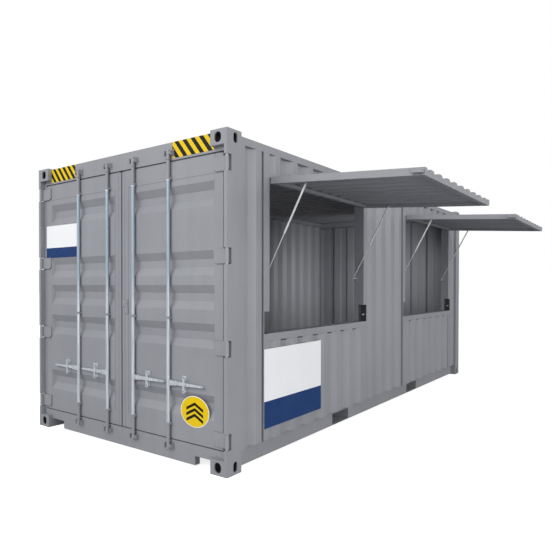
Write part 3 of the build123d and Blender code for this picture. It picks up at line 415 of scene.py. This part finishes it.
def add_ring(mesh, centre, normal, radius, thickness, sides=28, round_sides=10):
    """Adds a round-section ring about a normal: a small circle, spun right round."""
    turn = Vector((0, 0, 1)).rotation_difference(Vector(normal)).to_matrix().to_4x4()
    place = Matrix.Translation(Vector(centre)) @ turn
    upright = Matrix(((0, 1, 0, radius), (0, 0, 1, 0), (-1, 0, 0, 0), (0, 0, 0, 1)))
    made = bmesh.ops.create_circle(mesh, segments=round_sides, radius=thickness, matrix=place @ upright)
    edges = {edge for vertex in made["verts"] for edge in vertex.link_edges}
    bmesh.ops.spin(mesh, geom=list(edges), cent=Vector(centre), axis=Vector(normal), angle=2 * math.pi,
                   steps=sides, use_merge=True)


def thicken(mesh, material, depth):
    """Gives the flat faces of one material number a thickness, back along X."""
    flat = [face for face in mesh.faces if face.material_index == material]
    made = bmesh.ops.extrude_face_region(mesh, geom=flat)
    moved = [item for item in made["geom"] if isinstance(item, bmesh.types.BMVert)]
    bmesh.ops.translate(mesh, verts=moved, vec=(depth, 0, 0))


def add_bolt(mesh, centre, normal, radius):
    """Adds a hexagon head on its washer."""
    add_disc(mesh, centre, normal, radius * 1.35, radius * 0.25, 20, 0.96)
    head = Vector(centre) + Vector(normal) * radius * 0.25
    add_disc(mesh, head, normal, radius, radius * 0.8, 6, 0.94)


def from_door(distance):
    """X of a point this far in from the door end, in metres."""
    return DOOR_END + distance


# Warning stripes on the header
STRIPE_LOW = 2.454
STRIPE_HIGH = 2.585
STRIPE_LEAN = 0.100
STRIPE_COUNT = 5
STRIPE_SHIFT = 0.25
LEFT_STRIPES = (0.668, 1.057)
RIGHT_STRIPES = (-1.057, -0.621)
FILM = 0.8 * MM
BAND_LIFT = 1.3 * FILM
BAND_THICKNESS = 0.5 * FILM


def warning_stripes(name, y_low, y_high):
    """A yellow film with black bands that lean down to the right, cut off at the film's ends."""
    mesh = bmesh.new()
    add_block(mesh, (DOOR_FACE - FILM, y_low, STRIPE_LOW), (DOOR_FACE, y_high, STRIPE_HIGH))
    pitch = (y_high - y_low) / STRIPE_COUNT
    for number in range(-2, STRIPE_COUNT + 2):
        top = y_high - (number + STRIPE_SHIFT) * pitch
        band = [(top, STRIPE_HIGH), (top - pitch / 2, STRIPE_HIGH),
                (top - pitch / 2 - STRIPE_LEAN, STRIPE_LOW), (top - STRIPE_LEAN, STRIPE_LOW)]
        corners = [mesh.verts.new((DOOR_FACE - BAND_LIFT, y, z)) for y, z in band]
        mesh.faces.new(corners).material_index = 1
    for edge_y, outward in ((y_low, -1), (y_high, 1)):
        everything = mesh.verts[:] + mesh.edges[:] + mesh.faces[:]
        bmesh.ops.bisect_plane(mesh, geom=everything, plane_co=(0, edge_y, 0), plane_no=(0, outward, 0),
                               clear_outer=True)
    thicken(mesh, 1, BAND_THICKNESS)
    return finish_piece(name, mesh, "cabin", [yellow_film, black_film])


warning_stripes("warning_stripes_left", *LEFT_STRIPES)
warning_stripes("warning_stripes_right", *RIGHT_STRIPES)

# Sign plates: white over navy, bare of any words
SIGN_THICKNESS = 2.0 * MM
SIDE_SIGN_X = (from_door(0.484), from_door(1.430))
SIDE_SIGN_Z = (0.262, 0.908)
SIDE_SIGN_NAVY = 0.34
DOOR_SIGN_Y = (0.641, 1.147)
DOOR_SIGN_Z = (1.700, 2.020)
DOOR_SIGN_NAVY = 0.31


def sign_plate(name, body, low, high, band, out):
    """A thin plate between two corners, its lower share in navy film; out is the way that it faces."""
    mesh = bmesh.new()
    add_block(mesh, low, high)
    lift = Vector(out) * FILM
    top = low[2] + (high[2] - low[2]) * band
    add_block(mesh, Vector(low) + lift, Vector((high[0], high[1], top)) + lift, material=1)
    return finish_piece(name, mesh, body, [white_film, navy_film])


sign_plate("side_sign", "cabin", (SIDE_SIGN_X[0], SERVING_FACE - SIGN_THICKNESS, SIDE_SIGN_Z[0]),
           (SIDE_SIGN_X[1], SERVING_FACE, SIDE_SIGN_Z[1]), SIDE_SIGN_NAVY, (0, -1, 0))
sign_plate("door_sign", "left_door", (DOOR_FACE - SIGN_THICKNESS, DOOR_SIGN_Y[0], DOOR_SIGN_Z[0]),
           (DOOR_FACE, DOOR_SIGN_Y[1], DOOR_SIGN_Z[1]), DOOR_SIGN_NAVY, (-1, 0, 0))

# Oval badge on the right door: three chevrons, a generic device
BADGE_CENTRE = Vector((DOOR_FACE, -0.862, 0.433))
BADGE_HALF_WIDTH = 0.150
BADGE_HALF_HEIGHT = 0.124
BADGE_SIDES = 64
BADGE_THICKNESS = 1.6 * MM
BADGE_GROUND = 0.955
CHEVRON_RISE = 0.030
CHEVRON_STEP = 0.044
CHEVRON_REACH = 0.088
CHEVRON_DROP = 0.046
CHEVRON_WIDTH = 0.024
CHEVRON_LIFT = BADGE_THICKNESS + 1.5 * FILM
CHEVRON_THICKNESS = 0.75 * FILM


def badge():
    """A thin oval plate with a white rim, a yellow ground and black chevrons that point up."""
    mesh = bmesh.new()
    turn = Matrix.Rotation(-math.pi / 2, 4, "Y")
    for share, front, material in ((1.0, BADGE_THICKNESS, 0), (BADGE_GROUND, BADGE_THICKNESS + FILM, 1)):
        size = Matrix.Diagonal((1.0, BADGE_HALF_WIDTH * share, BADGE_HALF_HEIGHT * share, 1.0))
        place = Matrix.Translation(BADGE_CENTRE + Vector((-front / 2, 0, 0))) @ size @ turn
        made = bmesh.ops.create_cone(mesh, cap_ends=True, segments=BADGE_SIDES, radius1=1.0, radius2=1.0,
                                     depth=front, matrix=place)
        paint_faces(made, material)
    right = Vector((0, -CHEVRON_REACH, -CHEVRON_DROP))
    left = Vector((0, CHEVRON_REACH, -CHEVRON_DROP))
    down = Vector((0, 0, -CHEVRON_WIDTH))
    for row in (-1, 0, 1):
        tip = BADGE_CENTRE + Vector((-CHEVRON_LIFT, 0, CHEVRON_RISE + row * CHEVRON_STEP))
        spots = [tip, tip + right, tip + right + down, tip + down, tip + left + down, tip + left]
        mesh.faces.new([mesh.verts.new(spot) for spot in spots]).material_index = 2
    thicken(mesh, 2, CHEVRON_THICKNESS)
    films = [white_film, yellow_film, black_film]
    return finish_piece("door_badge", mesh, "right_door", films)


badge()

# Lock gear
OUTWARD = (-1, 0, 0)
EDGE_ROUND = 1.5 * MM
RING_INSET = 0.012
RING_HEIGHT = 0.016
RING_LIP = 2.5 * MM
HUB_OFFSET = 0.040
HUB_RADIUS = 0.016
HUB_RIVET_RADIUS = 0.007
HUB_STEP = 3 * MM
LEVER_FACE = BAR_X - 5 * MM
LEVER_TIP_RADIUS = 8 * MM
LEVER_TIP_DEPTH = 10 * MM
ROOT_OFFSET = 0.078
ROOT_RADIUS = 0.021
ROOT_STEP = 3 * MM
HASP_X = LEVER_FACE - 1 * MM
HASP_HALF_WIDTH = 0.011
HASP_HALF_HEIGHT = 0.046
HASP_THICKNESS = 4 * MM
BOSS_RADIUS = 0.020
BOSS_HEIGHT = 7 * MM
EYE_RISE = 0.056
EYE_RADIUS = 0.012
EYE_WIRE = 3.5 * MM
RIVET_RISE = 0.046
RIVET_RADIUS = 8 * MM
RIVET_HEIGHT = 4 * MM
CATCH_THICKNESS = 5 * MM
KEEPER_HEIGHTS = (0.122, 2.497)
KEEPER_HALF_WIDTH = 0.046
KEEPER_HALF_HEIGHT = 0.030
KEEPER_PLATE = 3 * MM
KEEPER_ROUND = 1.2 * MM
KEEPER_BOLT_OFFSET = 0.0425
KEEPER_BOLT_RISE = 0.025
KEEPER_BOLT_RADIUS = 2.4 * MM


def lock_bar_trim(number, y, side):
    """A bar's foot rings, its handle's pivots and tip, and the hasp plate over the lever."""
    mesh = bmesh.new()
    for height in (GUIDE_LOW + RING_INSET, GUIDE_HIGH - RING_INSET):
        foot = (BAR_X, y, height - RING_HEIGHT / 2)
        add_disc(mesh, foot, (0, 0, 1), BAR_RADIUS + RING_LIP, RING_HEIGHT, 28)
    hub_x, hub_y = BAR_X - BAR_RADIUS, y + side * HUB_OFFSET
    add_disc(mesh, (hub_x, hub_y, HANDLE_Z), OUTWARD, HUB_RADIUS, HUB_STEP, 28, 0.9)
    add_disc(mesh, (hub_x - HUB_STEP, hub_y, HANDLE_Z), OUTWARD, HUB_RIVET_RADIUS, HUB_STEP, 20, 0.7)
    tip = (LEVER_FACE + LEVER_TIP_DEPTH, y + side * HANDLE_REACH, HANDLE_Z)
    add_disc(mesh, tip, OUTWARD, LEVER_TIP_RADIUS, LEVER_TIP_DEPTH, 24)
    add_disc(mesh, (LEVER_FACE, y + side * ROOT_OFFSET, HANDLE_Z), OUTWARD, ROOT_RADIUS, ROOT_STEP, 28, 0.92)
    catch_y = y + side * CATCH_OFFSET
    add_block(mesh, (HASP_X - HASP_THICKNESS, catch_y - HASP_HALF_WIDTH, HANDLE_Z - HASP_HALF_HEIGHT),
              (HASP_X, catch_y + HASP_HALF_WIDTH, HANDLE_Z + HASP_HALF_HEIGHT), EDGE_ROUND)
    add_disc(mesh, (HASP_X, catch_y, HANDLE_Z), OUTWARD, BOSS_RADIUS, BOSS_HEIGHT, 28, 0.85)
    for rise in (-EYE_RISE, EYE_RISE):
        centre = (HASP_X - HASP_THICKNESS / 2, catch_y, HANDLE_Z + rise)
        add_ring(mesh, centre, (1, 0, 0), EYE_RADIUS, EYE_WIRE)
    finish_piece(f"lock_bar_{number}_trim", mesh, f"lock_bar_{number}", zinc_plate)


def catch_rivets(side, sign):
    """Rivets in the ends of a leaf's handle catches."""
    mesh = bmesh.new()
    for offset in BAR_OFFSETS:
        for rise in (-RIVET_RISE, RIVET_RISE):
            spot = (DOOR_FACE - CATCH_THICKNESS, sign * (offset + CATCH_OFFSET), HANDLE_Z + rise)
            add_disc(mesh, spot, OUTWARD, RIVET_RADIUS, RIVET_HEIGHT, 20, 0.6)
    finish_piece(f"{side}_catch_rivets", mesh, f"{side}_door", zinc_plate)


def keeper_plates():
    """The welded foot plates of the cam keepers, on the header and the sill, with their bolts."""
    mesh = bmesh.new()
    front = DOOR_FACE - KEEPER_PLATE
    for y in [sign * offset for offset in BAR_OFFSETS for sign in (-1, 1)]:
        for height in KEEPER_HEIGHTS:
            add_block(mesh, (front, y - KEEPER_HALF_WIDTH, height - KEEPER_HALF_HEIGHT),
                      (DOOR_FACE, y + KEEPER_HALF_WIDTH, height + KEEPER_HALF_HEIGHT), KEEPER_ROUND)
            for edge in (-KEEPER_BOLT_OFFSET, KEEPER_BOLT_OFFSET):
                add_bolt(mesh, (front, y + edge, height + KEEPER_BOLT_RISE), OUTWARD, KEEPER_BOLT_RADIUS)
    finish_piece("keeper_foot_plates", mesh, "cabin", body_enamel)


# Seams: lines of dirt 2 mm wide, where two plates are welded side by side
SEAM = 1.0 * MM
SEAM_LIFT = 0.4 * MM
STILE_LINE = 1.066
CENTRE_LINE = 0.088
MEETING_LINE = 0.040
TOP_LINE = 2.278
BOTTOM_LINE = 0.312
SEAM_INSET = 0.002


def door_seams(side, sign):
    """The lines where a leaf's top and bottom members meet its stiles and its pressed sheet."""
    mesh = bmesh.new()
    low_end, high_end = DOOR_LOW + SEAM_INSET, DOOR_HIGH - SEAM_INSET
    lines = (
        (STILE_LINE, CENTRE_LINE, TOP_LINE, TOP_LINE),
        (STILE_LINE, STILE_LINE, TOP_LINE, high_end),
        (CENTRE_LINE, CENTRE_LINE, BOTTOM_LINE, TOP_LINE),
        (MEETING_LINE, MEETING_LINE, low_end, high_end),
        (STILE_LINE, STILE_LINE, low_end, BOTTOM_LINE),
    )
    for y0, y1, z0, z1 in lines:
        near, far = sorted((sign * y0, sign * y1))
        add_block(mesh, (DOOR_FACE - SEAM_LIFT, near - SEAM, z0 - SEAM), (DOOR_FACE, far + SEAM, z1 + SEAM))
    finish_piece(f"{side}_door_seams", mesh, f"{side}_door", seam_dirt_and_shade)


for number, y, side in ((1, BAR_OFFSETS[0], 1), (2, BAR_OFFSETS[1], 1),
                        (3, -BAR_OFFSETS[1], -1), (4, -BAR_OFFSETS[0], -1)):
    lock_bar_trim(number, y, side)
for side, sign in (("left", 1), ("right", -1)):
    catch_rivets(side, sign)
    door_seams(side, sign)
keeper_plates()

# Seals and the lock plate where the leaves meet
SEAL_X = (from_door(0.052), from_door(0.090))
SEAL_Y = (-7 * MM, 0.5 * MM)
LIP_X = (DOOR_FACE + 4 * MM, DOOR_FACE + 14 * MM)
LIP_EDGES = (0.030, 1.120)
UPPER_LIP = 8 * MM
LOWER_LIP = 3 * MM
LOCK_PLATE = 6 * MM
LOCK_PLATE_RIM = 1.5 * MM
LOCK_PLATE_ARMS = (((-0.083, 1.236), (-0.010, 1.297)), ((-0.083, 1.176), (-0.046, 1.240)))
LOCK_PLATE_BOLT = (-0.065, 1.268)
LOCK_PLATE_BOLT_RADIUS = 6 * MM


def centre_seal():
    """The rubber lip between the leaves, carried by the right one and clear of the left one."""
    mesh = bmesh.new()
    add_block(mesh, (SEAL_X[0], SEAL_Y[0], DOOR_LOW), (SEAL_X[1], SEAL_Y[1], DOOR_HIGH), EDGE_ROUND)
    finish_piece("centre_seal", mesh, "right_door", rubber)


def lap_plate():
    """The L-shaped lock plate beside the meeting edges, on the right leaf, over a dark rim of painted shade
    round its edges.
    """
    mesh = bmesh.new()
    front = DOOR_FACE - LOCK_PLATE
    for low, high in LOCK_PLATE_ARMS:
        # Painted shade: a dark strip a little wider than each arm, round the plate's edges
        add_block(mesh, (DOOR_FACE - SEAM_LIFT, low[0] - LOCK_PLATE_RIM, low[1] - LOCK_PLATE_RIM),
                  (DOOR_FACE, high[0] + LOCK_PLATE_RIM, high[1] + LOCK_PLATE_RIM), material=1)
        add_block(mesh, (front, *low), (DOOR_FACE, *high), EDGE_ROUND)
    add_bolt(mesh, (front, *LOCK_PLATE_BOLT), OUTWARD, LOCK_PLATE_BOLT_RADIUS)
    finish_piece("lap_plate", mesh, "right_door", [body_enamel, seam_dirt_and_shade])


def seal_lips(side, sign):
    """The seal's lips above and below a leaf, which close most of its gaps to the header and the sill."""
    mesh = bmesh.new()
    edges = sorted((sign * LIP_EDGES[0], sign * LIP_EDGES[1]))
    for low, high in ((DOOR_HIGH, DOOR_HIGH + UPPER_LIP), (DOOR_LOW - LOWER_LIP, DOOR_LOW)):
        add_block(mesh, (LIP_X[0], edges[0], low), (LIP_X[1], edges[1], high), EDGE_ROUND)
    finish_piece(f"{side}_seal_lips", mesh, f"{side}_door", lip_rubber)


centre_seal()
lap_plate()
for side, sign in (("left", 1), ("right", -1)):
    seal_lips(side, sign)

# Serving side
WAVE_PITCH = 0.278
WAVE_DEPTH = 0.036
FIRST_FLAT = 0.513
FLAT_WIDTH = 0.070
FLAT_SPILL = 0.012
APRON_TOP = 0.973
DASH_HEIGHT = 0.018
DASH_DEPTH = 5 * MM
JAMB_WIDTH = 0.087
JAMB_SEAM = 1.2 * MM
JAMB_SEAM_HEIGHTS = (0.163, 2.498)
LATCH_Y = SERVING_FACE + 0.031
LATCH_Z = 1.105
LATCH_PIN = (0.0765, 9.5 * MM, 34 * MM)
LATCH_TIP = (0.0425, 7.6 * MM, 8 * MM)
LATCH_TIP_TAPER = 0.75
POCKET_Y = (SERVING_FACE + 2 * MM, SERVING_FACE + 0.062)
POCKET_Z = (1.032, 1.212)
POCKET_NEAR = 2 * MM
POCKET_FAR = 0.075
POCKET_LINER = 1.2 * MM


def jamb_edges(start):
    """The two jambs of an opening, each as its X and the way that points into the wall."""
    return (from_door(start), -1), (from_door(start + OPENING_WIDTH), 1)


def latch_pins(number, start):
    """The bright spring pins in the two latch pockets of an opening."""
    mesh = bmesh.new()
    for edge, side in jamb_edges(start):
        for (reach, radius, length), taper in ((LATCH_PIN, 1.0), (LATCH_TIP, LATCH_TIP_TAPER)):
            spot = (edge + side * reach, LATCH_Y, LATCH_Z)
            add_disc(mesh, spot, (-side, 0, 0), radius, length, 24, taper)
    finish_piece(f"opening_{number}_latch_pins", mesh, "cabin", zinc_plate)


def pocket_shade_liners(number, start):
    """Painted shade: thin black liners, in the rubber finish, on the back, the side, the top and the bottom
    of an opening's latch pockets.
    """
    mesh = bmesh.new()
    front, back = POCKET_Y
    low, high = POCKET_Z
    for edge, side in jamb_edges(start):
        far = edge + side * POCKET_FAR
        x0, x1 = sorted((edge + side * POCKET_NEAR, far))
        pad_x0, pad_x1 = sorted((far, far - side * POCKET_LINER))
        # Painted shade: the pocket's faces lined in black
        add_block(mesh, (x0, back - POCKET_LINER, low), (x1, back, high))
        add_block(mesh, (pad_x0, front, low), (pad_x1, back, high))
        for z in (low, high - POCKET_LINER):
            add_block(mesh, (x0, front, z), (x1, back, z + POCKET_LINER))
    finish_piece(f"opening_{number}_pocket_shade_liners", mesh, "cabin", rubber)


def sill_shadow_dashes(number, start):
    """Painted shadow under the sill: dark dashes in the sunk flats of the wall sheet."""
    mesh = bmesh.new()
    back = SERVING_FACE + WAVE_DEPTH
    flat = FIRST_FLAT
    # Each dash is painted shadow, where the sill overhangs a sunk flat
    while flat < start + OPENING_WIDTH:
        if flat > start:
            add_block(mesh, (from_door(flat - FLAT_SPILL), back - DASH_DEPTH, APRON_TOP - DASH_HEIGHT),
                      (from_door(flat + FLAT_WIDTH + FLAT_SPILL), back, APRON_TOP))
        flat += WAVE_PITCH
    finish_piece(f"opening_{number}_sill_shadow_dashes", mesh, "cabin", seam_dirt_and_shade)


def jamb_seams():
    """The dark lines where the wall sheet meets the outer post of each opening."""
    mesh = bmesh.new()
    first, last = OPENING_STARTS[0] - JAMB_WIDTH, OPENING_STARTS[1] + OPENING_WIDTH + JAMB_WIDTH
    for x in (from_door(first), from_door(last)):
        add_block(mesh, (x - JAMB_SEAM, SERVING_FACE - SEAM_LIFT, JAMB_SEAM_HEIGHTS[0]),
                  (x + JAMB_SEAM, SERVING_FACE, JAMB_SEAM_HEIGHTS[1]))
    finish_piece("opening_seams", mesh, "cabin", seam_dirt_and_shade)


for number, start in enumerate(OPENING_STARTS, 1):
    latch_pins(number, start)
    pocket_shade_liners(number, start)
    sill_shadow_dashes(number, start)
jamb_seams()

# Floor boards: sheets laid across the cabin, screwed along their joints
BOARD = 1.16
JOINT_COUNT = 5
JOINT_HALF = 1.5 * MM
JOINT_REACH = 1.095
SCREW_STEP = 0.18
SCREW_COUNT = 12
SCREW_OFFSET = 0.022
SCREW_RADIUS = 5 * MM
SCREW_HEIGHT = 0.8 * MM


def floor_joints():
    """The joints between the plywood sheets and the screws beside them."""
    mesh = bmesh.new()
    for index in range(JOINT_COUNT):
        x = (index - (JOINT_COUNT - 1) / 2) * BOARD
        add_block(mesh, (x - JOINT_HALF, -JOINT_REACH, FLOOR_TOP),
                  (x + JOINT_HALF, JOINT_REACH, FLOOR_TOP + SEAM_LIFT))
        for row in range(SCREW_COUNT):
            y = (row - (SCREW_COUNT - 1) / 2) * SCREW_STEP
            for side in (-SCREW_OFFSET, SCREW_OFFSET):
                add_disc(mesh, (x + side, y, FLOOR_TOP), (0, 0, 1), SCREW_RADIUS, SCREW_HEIGHT, 14, 0.85, 1)
    finish_piece("floor_joints", mesh, "cabin", [seam_dirt_and_shade, zinc_plate])


floor_joints()


# Studio
def studio():
    """A pale floor and an even pale room."""
    mesh = bmesh.new()
    bmesh.ops.create_grid(mesh, x_segments=1, y_segments=1, size=FLOOR_SIZE)
    data = bpy.data.meshes.new("studio_floor")
    mesh.to_mesh(data)
    mesh.free()
    floor = bpy.data.objects.new("studio_floor", data)
    floor.location.z = -FLOOR_DROP
    bpy.context.scene.collection.objects.link(floor)
    material = new_material("floor_paint")
    seen = add(material, "LightPath").outputs["Is Camera Ray"]
    matt = add(material, "BsdfDiffuse", {"Color": linear(FLOOR_SEEN)})
    glow = add(material, "Emission", {"Color": linear(PURE_WHITE), "Strength": FLOOR_GLOW})
    bright = add(material, "AddShader", links={0: matt.outputs[0], 1: glow.outputs[0]})
    dull = add(material, "BsdfDiffuse", {"Color": linear(FLOOR_UNSEEN)})
    choice = add(material, "MixShader", links={"Fac": seen, 1: dull.outputs[0], 2: bright.outputs[0]})
    show(material, choice.outputs[0])
    data.materials.append(material)

    world = bpy.data.worlds.new("studio")
    bpy.context.scene.world = world
    world.use_nodes = True
    world.node_tree.nodes.clear()
    seen = add(world, "LightPath").outputs["Is Camera Ray"]
    strength = spread(world, seen, 0.0, 1.0, ROOM_LIGHT, 1.0)
    room = add(world, "Background", {"Color": linear(PURE_WHITE)}, {"Strength": strength})
    add(world, "OutputWorld", links={"Surface": room.outputs[0]})


def soft_light(name, place, target, size, power, spread_angle=WIDE):
    """A large square lamp that faces a point."""
    data = bpy.data.lights.new(name, "AREA")
    data.size = size
    data.energy = power
    data.spread = math.radians(spread_angle)
    lamp = bpy.data.objects.new(name, data)
    lamp.location = place
    lamp.rotation_mode = "QUATERNION"
    lamp.rotation_quaternion = (Vector(target) - Vector(place)).to_track_quat("-Z", "Y")
    lamp.visible_camera = False
    bpy.context.scene.collection.objects.link(lamp)


def photo_camera():
    """The camera where the photograph was taken from."""
    yaw, pitch = math.radians(CAMERA_YAW), math.radians(CAMERA_PITCH)
    forward = Vector((math.cos(pitch) * math.cos(yaw), math.cos(pitch) * math.sin(yaw), math.sin(pitch)))
    right = Vector((math.sin(yaw), -math.cos(yaw), 0))
    up = right.cross(forward)
    data = bpy.data.cameras.new("photo_camera")
    data.sensor_width = SENSOR
    data.lens = FOCAL_PIXELS * SENSOR / IMAGE_PIXELS
    data.shift_x = 0.5 - OPTICAL_CENTRE[0] / IMAGE_PIXELS
    data.shift_y = OPTICAL_CENTRE[1] / IMAGE_PIXELS - 0.5
    camera = bpy.data.objects.new("photo_camera", data)
    turn = Matrix((right, up, -forward)).transposed()
    camera.matrix_world = Matrix.Translation(CAMERA_PLACE) @ turn.to_4x4()
    bpy.context.scene.collection.objects.link(camera)
    bpy.context.scene.camera = camera


studio()
for lamp in STUDIO_LAMPS:
    soft_light(*lamp)
for number, start in enumerate(OPENING_STARTS, 1):
    middle = from_door(start + OPENING_WIDTH / 2)
    place = (middle, INSIDE_LAMP_Y, INSIDE_LAMP_Z)
    target = (middle + INSIDE_AIM[number - 1], HALF_WIDTH, INSIDE_TARGET_Z)
    power = INSIDE_POWER[number - 1]
    soft_light(f"inside_light_{number}", place, target, INSIDE_LAMP_SIZE, power, INSIDE_SPREAD)
photo_camera()
bpy.context.scene.view_settings.view_transform = "Standard"
